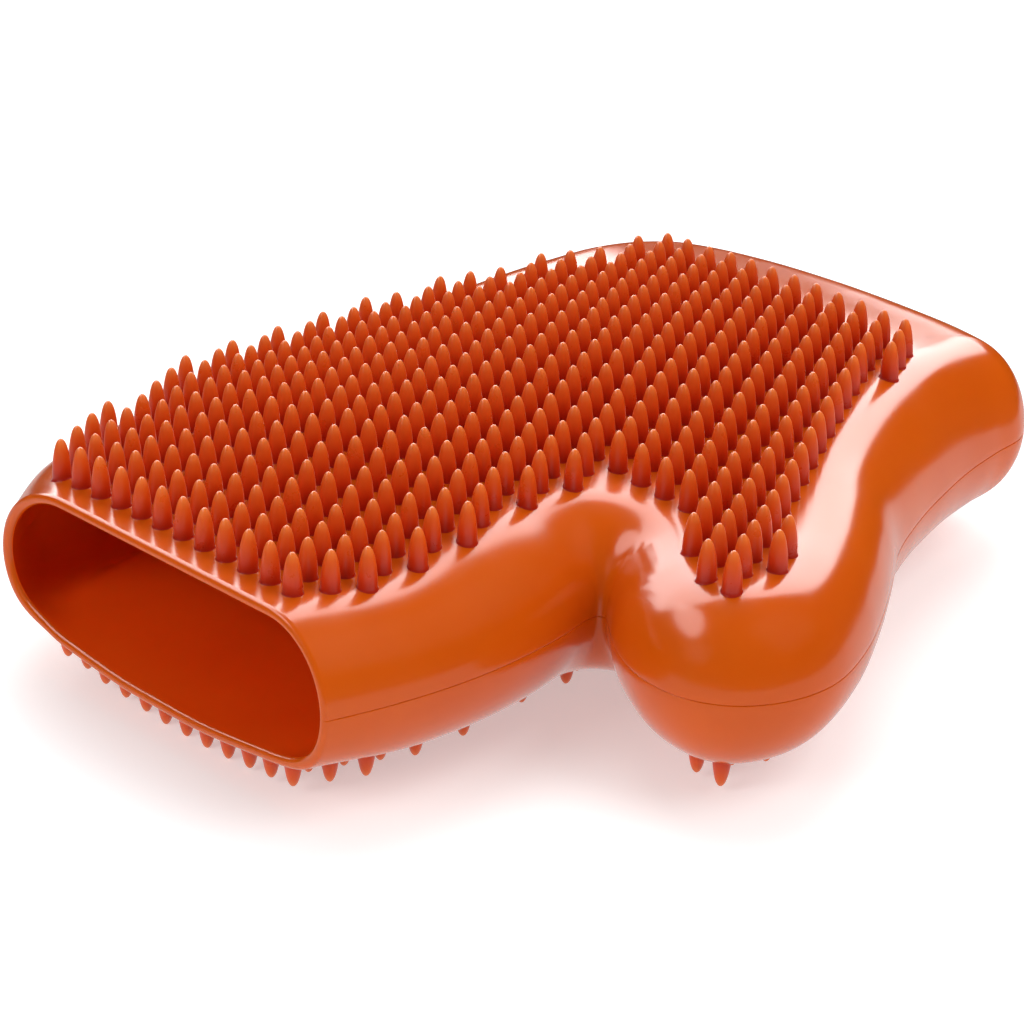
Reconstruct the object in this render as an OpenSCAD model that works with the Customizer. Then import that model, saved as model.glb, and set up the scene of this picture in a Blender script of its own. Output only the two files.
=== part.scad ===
// Moulded elastomer grooming mitt with a thumb: two half shells that meet at a mid-height
// parting plane, and rows of bullet-shaped massage pins on both faces.
// Frame: origin at the centre of the wrist opening, +X towards the thumb, +Y into the mitt
// towards the fingertips, +Z up out of the upper pin field. Units are millimetres.

/* [Pins] */
// Distance between neighbouring pins of one row
pin_pitch = 6; // [5:0.1:7]
// Distance between two rows; every second row is offset by half a pitch
row_pitch = 5.8; // [5:0.1:7]
// Number of pin rows on each face
row_count = 28; // [20:1:28]
// Diameter of a pin where it leaves the shell
pin_d = 3.6; // [2.5:0.1:4]
// Height of a pin above the shell
pin_h = 7.6; // [5:0.1:9]
// Distance from the wrist rim to the first row
first_row = 7; // [6:0.5:9]

/* [Shell] */
// Wall thickness of the elastomer
wall = 2; // [1.6:0.1:2.6]
// Half the height of the wrist opening, outside
rim_half_h = 15.9; // [14:0.1:18]
// How much higher the palm stands than the wrist rim
palm_rise = 5.9; // [3:0.1:7]
// How much higher again the face stands over the fingers
finger_rise = 1.5; // [0:0.1:2]
// How far the face drops towards the finger end, past the last row
end_fall = 2.7; // [0:0.1:4]
// Inset over which the flank rounds over into the face
flank_r = 15; // [12:0.5:16]
// How much lower the thumb and the little-finger side stand than the ridge of the palm
crown_fall = 5.8; // [4:0.1:7]
// How much deeper the lower flank bulges than the wrist rim, behind the rim
lower_bulge = 0.6; // [0:0.1:3]
// How much the lower face, which the mitt rests on, flattens from its middle to its sides
rest_fall = 2.9; // [0:0.1:4]

/* [Hidden] */
// Plan outline at the parting plane, from the thumb side of the wrist rim to the crotch
palm_side = [[46, 0], [48.6, 12], [50.2, 25], [50.3, 38], [48.8, 51], [46.7, 60.5]];
// The fillet in the crotch between palm and thumb
crotch_centre = [47.6, 63.2];
crotch_r = 1.2;
crotch_from = 165;
crotch_to = 53;
// Plan outline from the crotch round the thumb, the finger end and the little-finger side
thumb_side = [
    [51.5, 61.7], [58.5, 56.5], [68.5, 52.3], [79, 52.1], [87.5, 57.2], [92.2, 66.5],
    [92.4, 77.5], [87.3, 91], [79.5, 104.5], [71.5, 116.5], [63.5, 128], [56.6, 142.5],
    [51.5, 156], [47.4, 169], [44.8, 181]
];
finger_end = [[43, 191], [37, 198.4], [25, 201.3], [8, 201.9], [-12, 201.8], [-30, 201.3], [-46, 199]];
little_side = [
    [-58.5, 193], [-65.5, 181], [-67.5, 165], [-67.6, 147], [-67.5, 129], [-67.2, 111],
    [-66.8, 93], [-66.2, 75]
];
cuff_side = [[-65.2, 58], [-63.4, 41.5], [-60.2, 26], [-55.6, 12], [-46.6, 0]];

span_steps = 3;
crotch_steps = 6;
edge_steps = 6;
face_steps = 4;
cuff_stations = (len(cuff_side) - 1) * span_steps;
// Point of the face that every rib of the thumb and finger end runs to
face_centre = [15, 118];
cuff_blend = 40;
palm_length = 55;
finger_start = 60;
finger_length = 60;
end_start = 160;
end_length = 35;
crown_length = 35;
ridge_x = -8;
ridge_width = 76;
// The fingers hold the sides of the face up: the share of the fall that is left out there
held_share = 0.6;
held_start = 90;
held_length = 60;
// The flat middle of the lower face, the width over which it falls away and the thumb's own sag
rest_middle = 6;
rest_width = 38;
thumb_sag = 0.9;
thumb_from = 50;
thumb_width = 20;
// The lower flank is pressed in to the lower face from this inset on, and at the rim from its edge
press_from = 8;
press_length = 30;

// Edge of the pin field: a pin stands at each place of the staggered grid that lies inside it
pin_field = [
    [-40, 4], [34, 4], [37, 15], [37, 45], [34, 52], [34, 79.5], [52, 79.5], [60, 69], [69, 64],
    [70, 62], [80, 62], [80.5, 78], [77, 84.5], [69, 86], [38.5, 146], [38.5, 148.5], [41, 149.5],
    [36, 166.5], [-36.5, 166.5], [-38.5, 150], [-47, 122], [-50, 104], [-54.5, 84], [-54.5, 46],
    [-50, 38], [-47, 26]
];
first_pin_x = -36.6;
first_column = -3;
last_column = 19;

// Shape of one pin: how deep it is rooted in the wall, how much it narrows and how blunt it ends
pin_root = 0.8;
pin_taper = 0.62;
pin_taper_power = 2.3;
pin_tip_power = 16;
pin_profile_steps = 5;
pin_fn = 24;

function two(i) = str(i < 10 ? "0" : "", i);
UPPER_ROWS = [for (i = [1 : row_count]) str("upper_pins_row_", two(i))];
LOWER_ROWS = [for (i = [1 : row_count]) str("lower_pins_row_", two(i))];

rubber = [0.87, 0.33, 0.03];
pin_rubber = [0.84, 0.24, 0.03];

// Curve through a list of points
function clamp_index(p, i) = p[max(0, min(len(p) - 1, i))];
function spline_point(a, b, c, d, t) =
    0.5 * ((2 * b) + (c - a) * t + (2 * a - 5 * b + 4 * c - d) * t * t
    + (3 * b - a - 3 * c + d) * t * t * t);
function spline(p, n) = concat(
    [for (i = [0 : len(p) - 2], k = [0 : n - 1])
        spline_point(clamp_index(p, i - 1), p[i], p[i + 1], clamp_index(p, i + 2), k / n)],
    [p[len(p) - 1]]
);
function arc(c, r, a, b, n) = [for (k = [0 : n]) c + r * [cos(a + (b - a) * k / n), sin(a + (b - a) * k / n)]];
function unit(v) = v / norm(v);
function smooth(t) = let (s = max(0, min(1, t))) s * s * (3 - 2 * s);

outline = concat(
    spline(palm_side, span_steps),
    arc(crotch_centre, crotch_r, crotch_from, crotch_to, crotch_steps),
    spline(concat(thumb_side, finger_end, little_side, cuff_side), span_steps)
);
last = len(outline) - 1;

// Height of the face off the parting plane that the rounded flank runs up to, on the upper
// half and, where low is true, on the lower half
function upper_height(x, y) =
    rim_half_h
    + palm_rise * smooth(y / palm_length)
    + finger_rise * smooth((y - finger_start) / finger_length)
    - end_fall * smooth((y - end_start) / end_length)
    - crown_fall * smooth(abs(x - ridge_x) / ridge_width) * smooth(y / crown_length)
        * (1 - held_share * smooth((y - held_start) / held_length));
function sag(x) = thumb_sag * smooth((x - thumb_from) / thumb_width);
function lower_height(x, y) = rim_half_h + lower_bulge * smooth(y / palm_length) + sag(x);
function face_height(x, y, low) = low ? lower_height(x, y) : upper_height(x, y);

// How far the lower half is pressed in at an inset from the outline
function rest_height(x) = rim_half_h - rest_fall * smooth((abs(x) - rest_middle) / rest_width) + sag(x);
function press(x, y, inset, low) =
    let (from = press_from * smooth(y / press_length))
    low ? (lower_height(x, y) - rest_height(x)) * smooth((inset - from) / (flank_r - from)) : 0;
function flank(t) = sqrt(max(0, 1 - pow(1 - min(1, t), 2)));

// A rib runs inwards from a station of the outline: first round the flank, then over the face
function normal(i) =
    let (t = unit(outline[min(last, i + 1)] - outline[max(0, i - 1)])) [-t[1], t[0]];
function rib_direction(i) =
    let (n = normal(i), s = [n[0] < 0 ? -1 : 1, 0], k = smooth(outline[i][1] / cuff_blend))
    outline[i][1] > cuff_blend ? n : unit((1 - k) * s + k * n);
function rib_target(i) =
    let (k = min(i, last - i)) k < cuff_stations ? face_centre * (k / cuff_stations) : face_centre;
function rib(i, inset, low) =
    let (
        d = rib_direction(i),
        c = d * normal(i),
        r = flank_r - inset,
        p = outline[i] + d * inset / c,
        q = p + d * r / c,
        g = rib_target(i)
    )
    concat(
        [for (j = [0 : edge_steps])
            let (
                a = 90 * j / edge_steps,
                in = (1 - cos(a)) * r,
                w = p + d * in / c,
                h = (face_height(w[0], w[1], low) - inset) * sin(a)
            )
            [w[0], w[1], h - press(w[0], w[1], inset + in, low)]],
        [for (j = [1 : face_steps])
            let (w = q + (g - q) * j / face_steps, h = face_height(w[0], w[1], low) - inset)
            [w[0], w[1], h - press(w[0], w[1], flank_r, low)]]
    );

// One half of the shell as a single closed surface: outside, inside, parting land and rim
module half_shell(low) {
    m = edge_steps + face_steps;
    outer = [for (i = [0 : last]) each rib(i, 0, low)];
    inner = [for (i = [0 : last]) each rib(i, wall, low)];
    n = len(outer);
    // The ribs of both sides share their last points along the face's centre line
    function at(i, j) = (j == m ? (min(i, last - i) < cuff_stations ? min(i, last - i) : cuff_stations) : i)
        * (m + 1) + j;
    function quad(a, b, c, d) = [for (f = [[a, b, c], [a, c, d]])
        if (f[0] != f[1] && f[1] != f[2] && f[2] != f[0]) f];
    outside = [for (i = [0 : last - 1], j = [0 : m - 1])
        each quad(at(i, j), at(i, j + 1), at(i + 1, j + 1), at(i + 1, j))];
    inside = [for (i = [0 : last - 1], j = [0 : m - 1])
        each quad(n + at(i, j), n + at(i + 1, j), n + at(i + 1, j + 1), n + at(i, j + 1))];
    land = [for (i = [0 : last - 1])
        each quad(at(i, 0), at(i + 1, 0), n + at(i + 1, 0), n + at(i, 0))];
    rim_a = [for (j = [0 : m - 1])
        each quad(at(0, j), n + at(0, j), n + at(0, j + 1), at(0, j + 1))];
    rim_b = [for (j = [0 : m - 1])
        each quad(at(last, j), at(last, j + 1), n + at(last, j + 1), n + at(last, j))];
    polyhedron(concat(outer, inner), concat(outside, inside, land, rim_a, rim_b));
}

module upper_shell() {
    color(rubber) half_shell(false);
}

module lower_shell() {
    color(rubber) mirror([0, 0, 1]) half_shell(true);
}

// Distance from a point to the outline, which is left open at the wrist
function segment_distance(p, a, b) =
    let (t = max(0, min(1, ((p - a) * (b - a)) / ((b - a) * (b - a))))) norm(p - a - t * (b - a));
function border(p) = min([for (i = [0 : last - 1]) segment_distance(p, outline[i], outline[i + 1])]);

// Even-odd test of a point against a closed list of corners
function crosses(p, a, b) =
    (a[1] > p[1]) != (b[1] > p[1]) && p[0] < a[0] + (p[1] - a[1]) * (b[0] - a[0]) / (b[1] - a[1]);
function inside(p, loop) =
    len([for (i = [0 : len(loop) - 1]) if (crosses(p, loop[i], loop[(i + 1) % len(loop)])) i]) % 2 == 1;
function row_points(v) = [for (u = [first_column : last_column])
    let (p = [first_pin_x + pin_pitch * (u + (v % 2) / 2), first_row + row_pitch * v])
    if (inside(p, pin_field)) p];
function pin_foot(p, low) =
    let (w = border(p))
    face_height(p[0], p[1], low) * flank(w / flank_r) - press(p[0], p[1], w, low);

// A bullet that narrows more and more towards a small rounded tip
function pin_radius(t) =
    pin_d / 2 * (1 - pin_taper * pow(t, pin_taper_power)) * sqrt(1 - pow(t, pin_tip_power));
module pin() {
    bullet = [for (k = [0 : pin_profile_steps])
        let (t = sin(90 * k / pin_profile_steps))
        [pin_radius(t), pin_h * t]];
    rotate_extrude($fn = pin_fn)
        polygon(concat([[0, -pin_root], [pin_d / 2, -pin_root]], bullet));
}

module pin_row(v, low) {
    for (p = row_points(v))
        translate([p[0], p[1], pin_foot(p, low)])
            pin();
}

module upper_pins(v) {
    color(pin_rubber) pin_row(v, false);
}

module lower_pins(v) {
    color(pin_rubber) mirror([0, 0, 1]) pin_row(v, true);
}

upper_shell();
lower_shell();
for (v = [0 : row_count - 1]) {
    upper_pins(v);
    lower_pins(v);
}
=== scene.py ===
"""Moulded elastomer grooming mitt: two half shells and rows of massage pins, built round the CAD frame.

The CAD frame: origin at the centre of the wrist opening on the parting plane, +X towards the thumb,
+Y towards the fingertips, +Z up. Shapes are worked out in millimetres and scaled to metres once.
"""
import math
import random

import bpy
from mathutils import Matrix, Vector


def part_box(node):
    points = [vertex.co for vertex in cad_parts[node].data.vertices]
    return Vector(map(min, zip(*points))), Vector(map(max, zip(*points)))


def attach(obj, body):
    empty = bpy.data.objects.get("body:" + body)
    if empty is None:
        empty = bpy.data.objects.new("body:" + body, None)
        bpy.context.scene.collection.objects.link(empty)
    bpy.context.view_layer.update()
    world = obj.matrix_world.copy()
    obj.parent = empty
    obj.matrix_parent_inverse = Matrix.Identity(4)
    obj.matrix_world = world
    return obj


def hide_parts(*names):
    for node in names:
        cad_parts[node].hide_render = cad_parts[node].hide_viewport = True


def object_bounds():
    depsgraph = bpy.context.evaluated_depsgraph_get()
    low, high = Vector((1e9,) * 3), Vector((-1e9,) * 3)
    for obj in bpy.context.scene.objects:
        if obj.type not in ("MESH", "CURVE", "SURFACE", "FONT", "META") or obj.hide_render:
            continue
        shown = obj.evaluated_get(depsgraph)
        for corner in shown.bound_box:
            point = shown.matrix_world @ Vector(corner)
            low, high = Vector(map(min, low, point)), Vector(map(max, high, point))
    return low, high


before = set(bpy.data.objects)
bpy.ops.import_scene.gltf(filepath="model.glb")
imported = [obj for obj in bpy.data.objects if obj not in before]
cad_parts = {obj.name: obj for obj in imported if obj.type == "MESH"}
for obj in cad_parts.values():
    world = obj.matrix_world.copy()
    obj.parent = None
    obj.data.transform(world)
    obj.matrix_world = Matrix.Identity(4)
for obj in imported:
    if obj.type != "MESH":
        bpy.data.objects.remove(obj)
cad_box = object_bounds()

MM = 0.001

# ---- Sizes in millimetres, the same driving dimensions as the CAD design ----
WALL = 2.0
RIM_HALF_H = 15.9
PALM_RISE, PALM_LENGTH = 5.9, 55
FINGER_RISE, FINGER_START, FINGER_LENGTH = 1.5, 60, 60
END_FALL, END_START, END_LENGTH = 2.7, 160, 35
CROWN_FALL, CROWN_LENGTH = 5.8, 35
RIDGE_X, RIDGE_WIDTH = -8, 76
HELD_SHARE, HELD_START, HELD_LENGTH = 0.6, 90, 60
LOWER_BULGE = 0.6
REST_FALL, REST_MIDDLE, REST_WIDTH = 2.9, 6, 38
THUMB_SAG, THUMB_FROM, THUMB_WIDTH = 0.9, 50, 20
PRESS_FROM, PRESS_LENGTH = 8, 30
FLANK_R = 15.0
CUFF_BLEND = 40           # length from the rim in which the ribs turn square to the outline
FACE_CENTRE = (15, 118)   # where the ribs meet on each face, beyond the cuff

LIP = WALL / 2      # the wrist rim is rolled over half the wall
GROOVE = 0.2        # the rounded edge of each half shell at the parting plane
FACE_GATHER = 1.4   # above 1, the points of a rib lie closer together near the flank

PIN_D, PIN_H, PIN_PITCH = 3.6, 7.6, 6.0
PIN_TAPER, PIN_TAPER_POWER, PIN_TIP_POWER = 0.62, 2.3, 16
PIN_FILLET = 0.3
PIN_ROOT = 0.25          # how far a pin goes on below the face it stands on
PIN_FOLLOW = 0.2         # share of a pin's height over which its rings still follow the slope
PIN_LEAN, PIN_HEIGHT_SPREAD = 0.012, 0.008
PIN_RING_HEIGHTS = [0.06, 0.12, 0.2, 0.3, 0.4, 0.5, 0.6, 0.7, 0.78, 0.85, 0.9, 0.94, 0.965, 0.982, 0.993]
PIN_SIDES = 28

# ---- Plan outline at the parting plane, from the thumb side of the rim round to the other side ----
PALM_SIDE = [(46.2, LIP), (48.6, 12), (50.2, 25), (50.3, 38), (48.8, 51), (46.7, 60.5)]
CROTCH_CENTRE, CROTCH_R, CROTCH_FROM, CROTCH_TO = (47.6, 63.2), 1.2, 165, 53
THUMB_SIDE = [
    (51.5, 61.7), (58.5, 56.5), (68.5, 52.3), (79, 52.1), (87.5, 57.2), (92.2, 66.5),
    (92.4, 77.5), (87.3, 91), (79.5, 104.5), (71.5, 116.5), (63.5, 128), (56.6, 142.5),
    (51.5, 156), (47.4, 169), (44.8, 181),
]
FINGER_END = [(43, 191), (37, 198.4), (25, 201.3), (8, 201.9), (-12, 201.8), (-30, 201.3), (-46, 199)]
LITTLE_SIDE = [
    (-58.5, 193), (-65.5, 181), (-67.5, 165), (-67.6, 147), (-67.5, 129), (-67.2, 111),
    (-66.8, 93), (-66.2, 75),
]
CUFF_SIDE = [(-65.2, 58), (-63.4, 41.5), (-60.2, 26), (-55.6, 12), (-47.3, LIP)]

SPAN_STEPS = 8
CROTCH_STEPS = 18
FLANK_STEPS = 22
FACE_STEPS = 22
SHARP_ANGLE = 35     # degrees; flatter edges are shaded smooth
LIP_STEPS = 10
GROOVE_STEPS = 4


def smooth(t):
    """Eases from 0 to 1 as t goes from 0 to 1."""
    t = max(0.0, min(1.0, t))
    return t * t * (3 - 2 * t)


def spline(points, steps):
    """Catmull-Rom curve through the points."""
    points = [Vector(p) for p in points]
    curve = []
    for i in range(len(points) - 1):
        a, b = points[max(0, i - 1)], points[i]
        c, d = points[i + 1], points[min(len(points) - 1, i + 2)]
        for k in range(steps):
            t = k / steps
            curve.append(0.5 * (2 * b + (c - a) * t + (2 * a - 5 * b + 4 * c - d) * t * t
                                + (3 * b - a - 3 * c + d) * t ** 3))
    return curve + [points[-1]]


def arc(centre, radius, start, end, steps):
    angles = [math.radians(start + (end - start) * k / steps) for k in range(steps + 1)]
    return [Vector((centre[0] + radius * math.cos(a), centre[1] + radius * math.sin(a))) for a in angles]


OUTLINE = (
    spline(PALM_SIDE, SPAN_STEPS)
    + arc(CROTCH_CENTRE, CROTCH_R, CROTCH_FROM, CROTCH_TO, CROTCH_STEPS)
    + spline(THUMB_SIDE + FINGER_END + LITTLE_SIDE + CUFF_SIDE, SPAN_STEPS)
)
LAST = len(OUTLINE) - 1
CUFF_STATIONS = (len(CUFF_SIDE) - 1) * SPAN_STEPS


def border(x, y):
    """Distance from a point to the outline, which is open at the wrist."""
    p = Vector((x, y))
    best = 1e9
    for a, b in zip(OUTLINE, OUTLINE[1:]):
        ab = b - a
        t = max(0.0, min(1.0, (p - a).dot(ab) / ab.length_squared))
        best = min(best, (p - a - t * ab).length)
    return best


def upper_height(x, y):
    """The upper face bulges over the palm and falls away towards its edges."""
    held = 1 - HELD_SHARE * smooth((y - HELD_START) / HELD_LENGTH)
    fall = CROWN_FALL * smooth(abs(x - RIDGE_X) / RIDGE_WIDTH) * smooth(y / CROWN_LENGTH) * held
    return (RIM_HALF_H + PALM_RISE * smooth(y / PALM_LENGTH)
            + FINGER_RISE * smooth((y - FINGER_START) / FINGER_LENGTH)
            - END_FALL * smooth((y - END_START) / END_LENGTH) - fall)


def sag(x):
    """How much lower the thumb hangs than the palm's edge."""
    return THUMB_SAG * smooth((x - THUMB_FROM) / THUMB_WIDTH)


def lower_height(x, y):
    """The lower face before it is pressed in, measured down from the parting plane."""
    return RIM_HALF_H + LOWER_BULGE * smooth(y / PALM_LENGTH) + sag(x)


def pressed(x, y, side):
    """How far the lower half is pressed in, inside its flank, where the mitt rests on its pins."""
    if side > 0:
        return 0.0
    rest = RIM_HALF_H - REST_FALL * smooth((abs(x) - REST_MIDDLE) / REST_WIDTH) + sag(x)
    first = PRESS_FROM * smooth(y / PRESS_LENGTH)
    return (lower_height(x, y) - rest) * smooth((border(x, y) - first) / (FLANK_R - first))


def height(x, y, side):
    return upper_height(x, y) if side > 0 else lower_height(x, y)


def surface(x, y, side):
    """Distance of the outside surface from the parting plane, at a point of the plan."""
    t = min(1.0, border(x, y) / FLANK_R)
    return height(x, y, side) * math.sqrt(max(0.0, 1 - (1 - t) ** 2)) - pressed(x, y, side)


def normal(i):
    """Unit vector into the mitt, square to the outline at one station."""
    t = (OUTLINE[min(LAST, i + 1)] - OUTLINE[max(0, i - 1)]).normalized()
    return Vector((-t.y, t.x))


def rib(i, inset, groove, side):
    """Points from the parting plane round the flank and over the face, at one station of the outline."""
    n = normal(i)
    across = Vector((-1.0 if n.x < 0 else 1.0, 0.0))
    k = smooth((OUTLINE[i].y - LIP) / CUFF_BLEND)
    d = (across * (1 - k) + n * k).normalized()
    slant = d.dot(n)
    radius = FLANK_R - inset
    start = OUTLINE[i] + d * inset / slant
    shoulder = start + d * radius / slant
    near_cuff = min(i, LAST - i)
    share = min(1.0, near_cuff / CUFF_STATIONS)
    goal = Vector((FACE_CENTRE[0] * share, LIP + (FACE_CENTRE[1] - LIP) * share))
    first = math.asin(groove / height(start.x, start.y, side)) if groove else 0.0
    points = []
    if groove:
        for j in range(GROOVE_STEPS):
            a = math.pi / 2 * j / GROOVE_STEPS
            w = start + d * (groove * (1 - math.sin(a)) + (1 - math.cos(first)) * radius) / slant
            points.append((w.x, w.y, groove * (1 - math.cos(a))))
    for j in range(FLANK_STEPS + 1):
        a = first + (math.pi / 2 - first) * j / FLANK_STEPS
        w = start + d * (1 - math.cos(a)) * radius / slant
        z = (height(w.x, w.y, side) - inset) * math.sin(a) - pressed(w.x, w.y, side)
        points.append((w.x, w.y, z))
    for j in range(1, FACE_STEPS + 1):
        w = shoulder.lerp(goal, (j / FACE_STEPS) ** FACE_GATHER)
        points.append((w.x, w.y, height(w.x, w.y, side) - inset - pressed(w.x, w.y, side)))
    return points


def half_shell(name, side):
    """One half shell as a closed mesh: outside, rolled rim, inside and parting land."""
    outer = [rib(i, 0.0, GROOVE, side) for i in range(LAST + 1)]
    inner = [rib(i, WALL, 0.0, side) for i in range(LAST + 1)]
    vertices, faces, index = [], [], {}
    inner_points = {tuple(round(c, 5) for c in p) for line in inner for p in line}

    def vertex(p):
        key = tuple(round(c, 5) for c in p)
        if key not in index:
            index[key] = len(vertices)
            vertices.append((p[0] * MM, p[1] * MM, p[2] * MM * side))
        return index[key]

    def patch(grid, flip):
        """Faces over a grid of points; shared points are merged and collapsed faces are dropped."""
        ids = [[vertex(p) for p in line] for line in grid]
        for a, b in zip(ids, ids[1:]):
            for j in range(len(a) - 1):
                ring = [a[j], a[j + 1], b[j + 1], b[j]]
                loop = [v for n, v in enumerate(ring) if v != ring[n - 1]]
                if len(set(loop)) > 2:
                    faces.append(loop[::-1] if flip else loop)

    def lip(station):
        """The rim's half round, from an outside rib to the inside rib behind it."""
        out, ins = outer[station], [inner[station][0]] * GROOVE_STEPS + inner[station]
        line = []
        for b in range(LIP_STEPS + 1):
            angle = math.pi * b / LIP_STEPS
            c, s = (1 + math.cos(angle)) / 2, math.sin(angle)
            line.append([tuple(q[n] + (o[n] - q[n]) * c - (LIP * s if n == 1 else 0) for n in range(3))
                         for o, q in zip(out, ins)])
        return line

    up = side > 0
    patch(outer, up)
    patch(inner, not up)
    patch([[r[0] for r in inner], [r[0] for r in outer]], up)
    patch(lip(0), up)
    patch(lip(LAST), not up)
    mesh = bpy.data.meshes.new(name)
    mesh.from_pydata(vertices, [], faces)
    # Marks the inside faces, which the shell material paints lighter as painted light.
    inner_wall = [float(key in inner_points) for key in index]
    mesh.attributes.new("inner_wall", "FLOAT", "POINT").data.foreach_set("value", inner_wall)
    return mesh


def add_piece(name, mesh, node, material):
    """Finishes a mesh and puts it on the frame in place of its CAD node."""
    mesh.validate()
    mesh.update()
    mesh.shade_smooth()
    mesh.set_sharp_from_angle(angle=math.radians(SHARP_ANGLE))
    mesh.materials.append(material)
    piece = bpy.data.objects.new(name, mesh)
    bpy.context.scene.collection.objects.link(piece)
    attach(piece, "root")
    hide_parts(node)


# ---- Pins ----
def pin_profile():
    """(share of the height, share of the radius) up a bullet-shaped pin with a small blunt tip."""
    return [(t, (1 - PIN_TAPER * t ** PIN_TAPER_POWER) * math.sqrt(1 - t ** PIN_TIP_POWER))
            for t in PIN_RING_HEIGHTS]


def pin_places(node):
    """Plan positions of the pins in a CAD row, read off its mesh: a pitch apart, with gaps."""
    low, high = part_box(node)
    first = low.x / MM + PIN_D / 2
    y = (low.y + high.y) / 2 / MM
    columns = {round((v.co.x / MM - first) / PIN_PITCH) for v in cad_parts[node].data.vertices}
    return [(first + PIN_PITCH * c, y) for c in sorted(columns)]


def pin_row(name, node, side, chance):
    """One row of pins: each foot follows the shell, and each pin leans a little its own way."""
    vertices, faces, along = [], [], []
    profile = pin_profile()
    for x, y in pin_places(node):
        foot = surface(x, y, side)
        slope = Vector((surface(x + 1, y, side) - foot, surface(x, y + 1, side) - foot))
        lean = Vector((chance.gauss(0, PIN_LEAN), chance.gauss(0, PIN_LEAN)))
        tall = PIN_H * (1 + chance.gauss(0, PIN_HEIGHT_SPREAD))
        turn = chance.uniform(0, math.tau)
        radius = PIN_D / 2
        rings = [(radius + PIN_FILLET, -PIN_ROOT, 0.0), (radius + PIN_FILLET * 0.45, 0.06, 0.0),
                 (radius + PIN_FILLET * 0.1, 0.22, 0.02)]
        rings += [(radius * r, tall * t, t) for t, r in profile]
        base = len(vertices)
        for r, h, t in rings:
            follow = max(0.0, 1 - t / PIN_FOLLOW)
            for s in range(PIN_SIDES):
                a = turn + math.tau * s / PIN_SIDES
                px, py = x + r * math.cos(a) + lean.x * h, y + r * math.sin(a) + lean.y * h
                rise = slope.dot(Vector((px - x, py - y))) * follow
                vertices.append((px * MM, py * MM, (foot + h + rise) * MM * side))
                along.append(t)
        tip, root = len(vertices), len(vertices) + 1
        vertices.append(((x + lean.x * tall) * MM, (y + lean.y * tall) * MM, (foot + tall) * MM * side))
        vertices.append((x * MM, y * MM, (foot - PIN_ROOT) * MM * side))
        along += [1.0, 0.0]
        for k in range(len(rings) - 1):
            for s in range(PIN_SIDES):
                a, b = base + k * PIN_SIDES + s, base + k * PIN_SIDES + (s + 1) % PIN_SIDES
                faces.append([a, b, b + PIN_SIDES, a + PIN_SIDES])
        top = base + (len(rings) - 1) * PIN_SIDES
        for s in range(PIN_SIDES):
            faces.append([top + s, top + (s + 1) % PIN_SIDES, tip])
            faces.append([base + (s + 1) % PIN_SIDES, base + s, root])
    if side < 0:
        faces = [f[::-1] for f in faces]
    mesh = bpy.data.meshes.new(name)
    mesh.from_pydata(vertices, [], faces)
    mesh.attributes.new("along_pin", "FLOAT", "POINT").data.foreach_set("value", along)
    return mesh


# ---- Materials ----
def new_material(name):
    material = bpy.data.materials.new(name)
    material.use_nodes = True
    tree = material.node_tree
    return material, tree, tree.nodes["Principled BSDF"]


def noise(tree, coords, scale, detail, roughness=0.5):
    node = tree.nodes.new("ShaderNodeTexNoise")
    node.inputs["Scale"].default_value = scale
    node.inputs["Detail"].default_value = detail
    node.inputs["Roughness"].default_value = roughness
    tree.links.new(coords, node.inputs["Vector"])
    return node.outputs["Fac"]


def ramp(tree, fac, stops):
    node = tree.nodes.new("ShaderNodeValToRGB")
    while len(node.color_ramp.elements) < len(stops):
        node.color_ramp.elements.new(0.5)
    for element, (position, colour) in zip(node.color_ramp.elements, stops):
        element.position = position
        element.color = (*colour, 1.0)
    tree.links.new(fac, node.inputs["Fac"])
    return node.outputs["Color"]


def map_range(tree, value, low, high, out_low, out_high):
    node = tree.nodes.new("ShaderNodeMapRange")
    for socket, number in zip(node.inputs[1:5], (low, high, out_low, out_high)):
        socket.default_value = number
    tree.links.new(value, node.inputs["Value"])
    return node.outputs["Result"]


def bump(tree, relief, distance, below=None):
    node = tree.nodes.new("ShaderNodeBump")
    node.inputs["Distance"].default_value = distance
    node.inputs["Strength"].default_value = 1.0
    tree.links.new(relief, node.inputs["Height"])
    if below is not None:
        tree.links.new(below, node.inputs["Normal"])
    return node.outputs["Normal"]


def rubber_finish(bsdf):
    """What both rubbers share: a slight red translucence and a soft moulded gloss."""
    bsdf.inputs["IOR"].default_value = 1.5
    bsdf.inputs["Specular IOR Level"].default_value = 0.38
    bsdf.inputs["Subsurface Weight"].default_value = 0.12
    bsdf.inputs["Subsurface Radius"].default_value = (1.0, 0.25, 0.08)
    bsdf.inputs["Subsurface Scale"].default_value = 1.2 * MM


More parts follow.
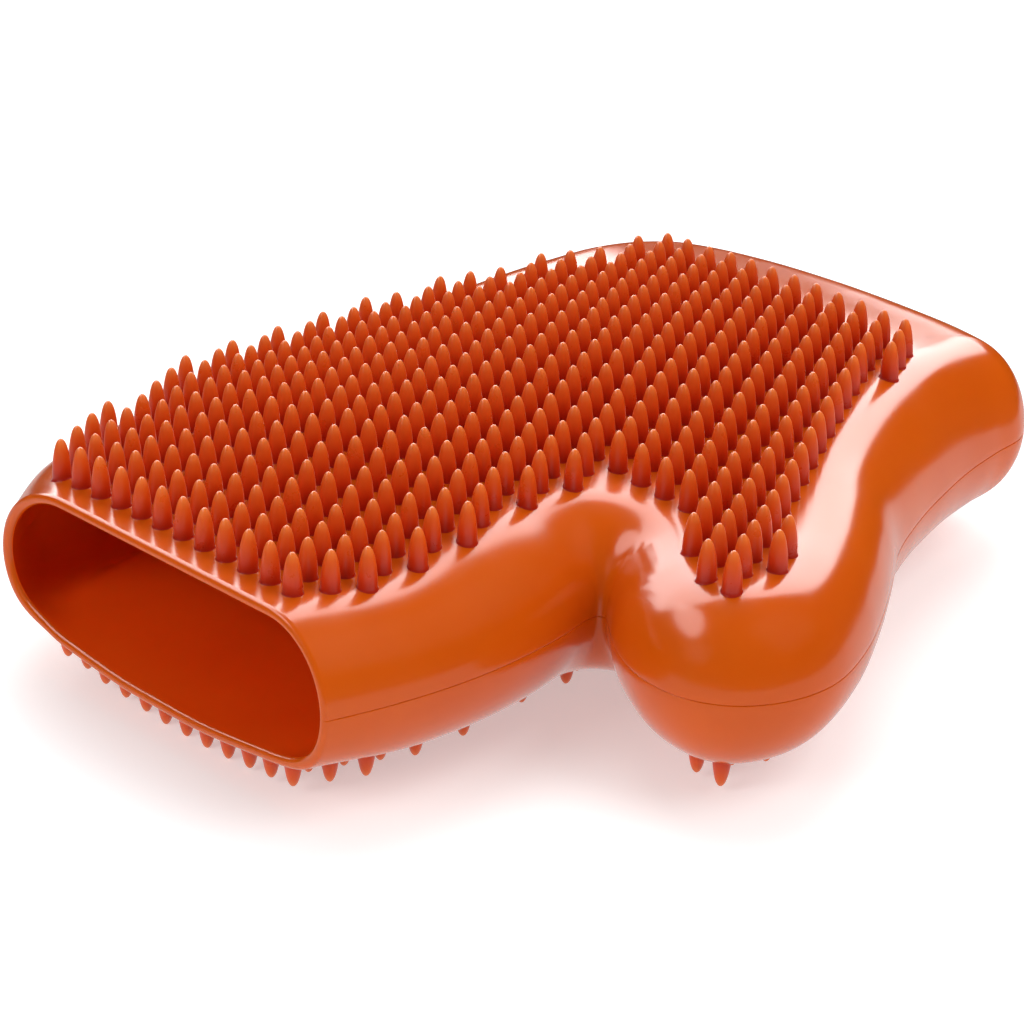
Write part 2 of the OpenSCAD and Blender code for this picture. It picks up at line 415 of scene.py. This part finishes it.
def shell_material():
    material, tree, bsdf = new_material("moulded_rubber")
    rubber_finish(bsdf)
    coords = tree.nodes.new("ShaderNodeTexCoord").outputs["Object"]
    cloudy = noise(tree, coords, 28, 4)
    outside = ramp(tree, cloudy, [(0.3, (0.58, 0.080, 0.002)), (0.7, (0.64, 0.096, 0.003))])
    # The inside faces get a lighter copy of the same rubber: painted light that brightens the inside of
    # the wrist opening.
    within_painted_light = ramp(tree, cloudy, [(0.3, (0.88, 0.085, 0.004)), (0.7, (0.92, 0.105, 0.005))])
    attribute = tree.nodes.new("ShaderNodeAttribute")
    attribute.attribute_name = "inner_wall"
    colour = tree.nodes.new("ShaderNodeMix")
    colour.data_type = "RGBA"
    tree.links.new(attribute.outputs["Fac"], colour.inputs[0])
    tree.links.new(outside, colour.inputs[6])
    tree.links.new(within_painted_light, colour.inputs[7])
    tree.links.new(colour.outputs[2], bsdf.inputs["Base Color"])
    smudge = noise(tree, coords, 60, 5, 0.6)
    tree.links.new(map_range(tree, smudge, 0.3, 0.7, 0.15, 0.23), bsdf.inputs["Roughness"])
    wave = bump(tree, noise(tree, coords, 90, 1), 0.05 * MM)
    grain = bump(tree, noise(tree, coords, 2600, 2), 0.004 * MM, below=wave)
    tree.links.new(grain, bsdf.inputs["Normal"])
    return material


def pin_material():
    material, tree, bsdf = new_material("pin_rubber")
    rubber_finish(bsdf)
    coords = tree.nodes.new("ShaderNodeTexCoord").outputs["Object"]
    attribute = tree.nodes.new("ShaderNodeAttribute")
    attribute.attribute_name = "along_pin"
    # Up each pin the colour goes from a dark foot, painted shade between the pins, to a paler tip, a
    # painted highlight.
    colour = ramp(tree, attribute.outputs["Fac"], [
        (0.0, (0.40, 0.012, 0.003)), (0.3, (0.60, 0.040, 0.004)), (0.75, (0.72, 0.092, 0.006)),
        (1.0, (0.80, 0.18, 0.03)),
    ])
    tree.links.new(colour, bsdf.inputs["Base Color"])
    smudge = noise(tree, coords, 300, 4, 0.6)
    tree.links.new(map_range(tree, smudge, 0.3, 0.7, 0.26, 0.36), bsdf.inputs["Roughness"])
    grain = bump(tree, noise(tree, coords, 2200, 3), 0.01 * MM)
    tree.links.new(grain, bsdf.inputs["Normal"])
    return material


# ---- The mitt ----
shell_rubber = shell_material()
pins_rubber = pin_material()
random_lean = random.Random(11)
for label, side in (("upper", 1), ("lower", -1)):
    shell_name = f"{label}_half_shell"
    add_piece(shell_name, half_shell(shell_name, side), f"{label}_shell", shell_rubber)
    for node in sorted(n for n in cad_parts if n.startswith(f"{label}_pins_row_")):
        name = node.replace("_pins_row_", "_massage_pins_")
        add_piece(name, pin_row(name, node, side, random_lean), node, pins_rubber)


# ---- Studio ----
FLOOR_Z = cad_box[0].z
CAMERA_AIM = Vector((2.7, 84.3, 0.0)) * MM
CAMERA_DISTANCE = 609.3 * MM
CAMERA_AZIMUTH, CAMERA_ELEVATION, CAMERA_ROLL = 45.87, 23.67, 1.58
CAMERA_LENS = 110.79


def direction(azimuth, elevation):
    """Unit vector from the object; azimuth 0 is the wrist side, and 90 the thumb side."""
    a, e = math.radians(azimuth), math.radians(elevation)
    return Vector((math.sin(a) * math.cos(e), -math.cos(a) * math.cos(e), math.sin(e)))


def make_camera():
    data = bpy.data.cameras.new("camera")
    data.lens = CAMERA_LENS
    data.clip_start, data.clip_end = 0.05, 20
    camera = bpy.data.objects.new("camera", data)
    bpy.context.scene.collection.objects.link(camera)
    back = direction(CAMERA_AZIMUTH, CAMERA_ELEVATION)
    camera.location = CAMERA_AIM + back * CAMERA_DISTANCE
    turn = (-back).to_track_quat("-Z", "Y").to_matrix()
    roll = Matrix.Rotation(math.radians(CAMERA_ROLL), 3, "Z")
    camera.rotation_euler = (turn @ roll).to_euler()
    bpy.context.scene.camera = camera


def softbox(name, azimuth, elevation, distance, width, depth, power, seen_in_gloss):
    """An area light that either fills the diffuse light or shows as a reflection, never both."""
    data = bpy.data.lights.new(name, "AREA")
    data.shape = "ELLIPSE" if seen_in_gloss else "RECTANGLE"
    data.size, data.size_y = width, depth
    data.energy = power
    light = bpy.data.objects.new(name, data)
    light.visible_glossy = seen_in_gloss
    light.visible_diffuse = not seen_in_gloss
    bpy.context.scene.collection.objects.link(light)
    out = direction(azimuth, elevation)
    light.location = CAMERA_AIM + out * distance
    light.rotation_euler = (-out).to_track_quat("-Z", "Y").to_euler()


def make_floor():
    reach = 6.0
    corners = [(-reach, -reach), (reach, -reach), (reach, reach), (-reach, reach)]
    mesh = bpy.data.meshes.new("floor")
    mesh.from_pydata([(x, y, FLOOR_Z) for x, y in corners], [], [(0, 1, 2, 3)])
    material, _, bsdf = new_material("pale_floor")
    bsdf.inputs["Base Color"].default_value = (0.75, 0.75, 0.75, 1)
    bsdf.inputs["Roughness"].default_value = 0.7
    bsdf.inputs["Emission Color"].default_value = (1, 1, 1, 1)
    bsdf.inputs["Emission Strength"].default_value = 0.42
    mesh.materials.append(material)
    floor = bpy.data.objects.new("floor", mesh)
    floor.visible_glossy = False        # the table_glow light stands for it in reflections
    bpy.context.scene.collection.objects.link(floor)


def make_world():
    world = bpy.data.worlds.new("studio")
    world.use_nodes = True
    background = world.node_tree.nodes["Background"]
    background.inputs["Color"].default_value = (1, 1, 1, 1)
    background.inputs["Strength"].default_value = 0.29
    world.cycles_visibility.glossy = False
    bpy.context.scene.world = world


make_camera()
make_floor()
make_world()
# Each light: azimuth, elevation and distance from the aim, width, depth, power, seen in gloss
softbox("key", CAMERA_AZIMUTH + 75, 45, 1.2, 0.9, 0.9, 7.5, False)
softbox("top_fill", CAMERA_AZIMUTH + 180, 65, 1.2, 0.9, 0.9, 7.5, False)
softbox("wrist_fill", 0, 28, 0.8, 0.4, 0.3, 1.8, False)
softbox("back_card", CAMERA_AZIMUTH + 188, 40, 1.3, 2.6, 1.3, 60, True)
softbox("table_glow", 0, -90, -FLOOR_Z + 0.005, 0.6, 0.6, 0.7, True)
softbox("dome_card", CAMERA_AZIMUTH - 88, 50, 1.0, 0.8, 0.5, 6, True)
bpy.context.scene.view_settings.view_transform = "Standard"
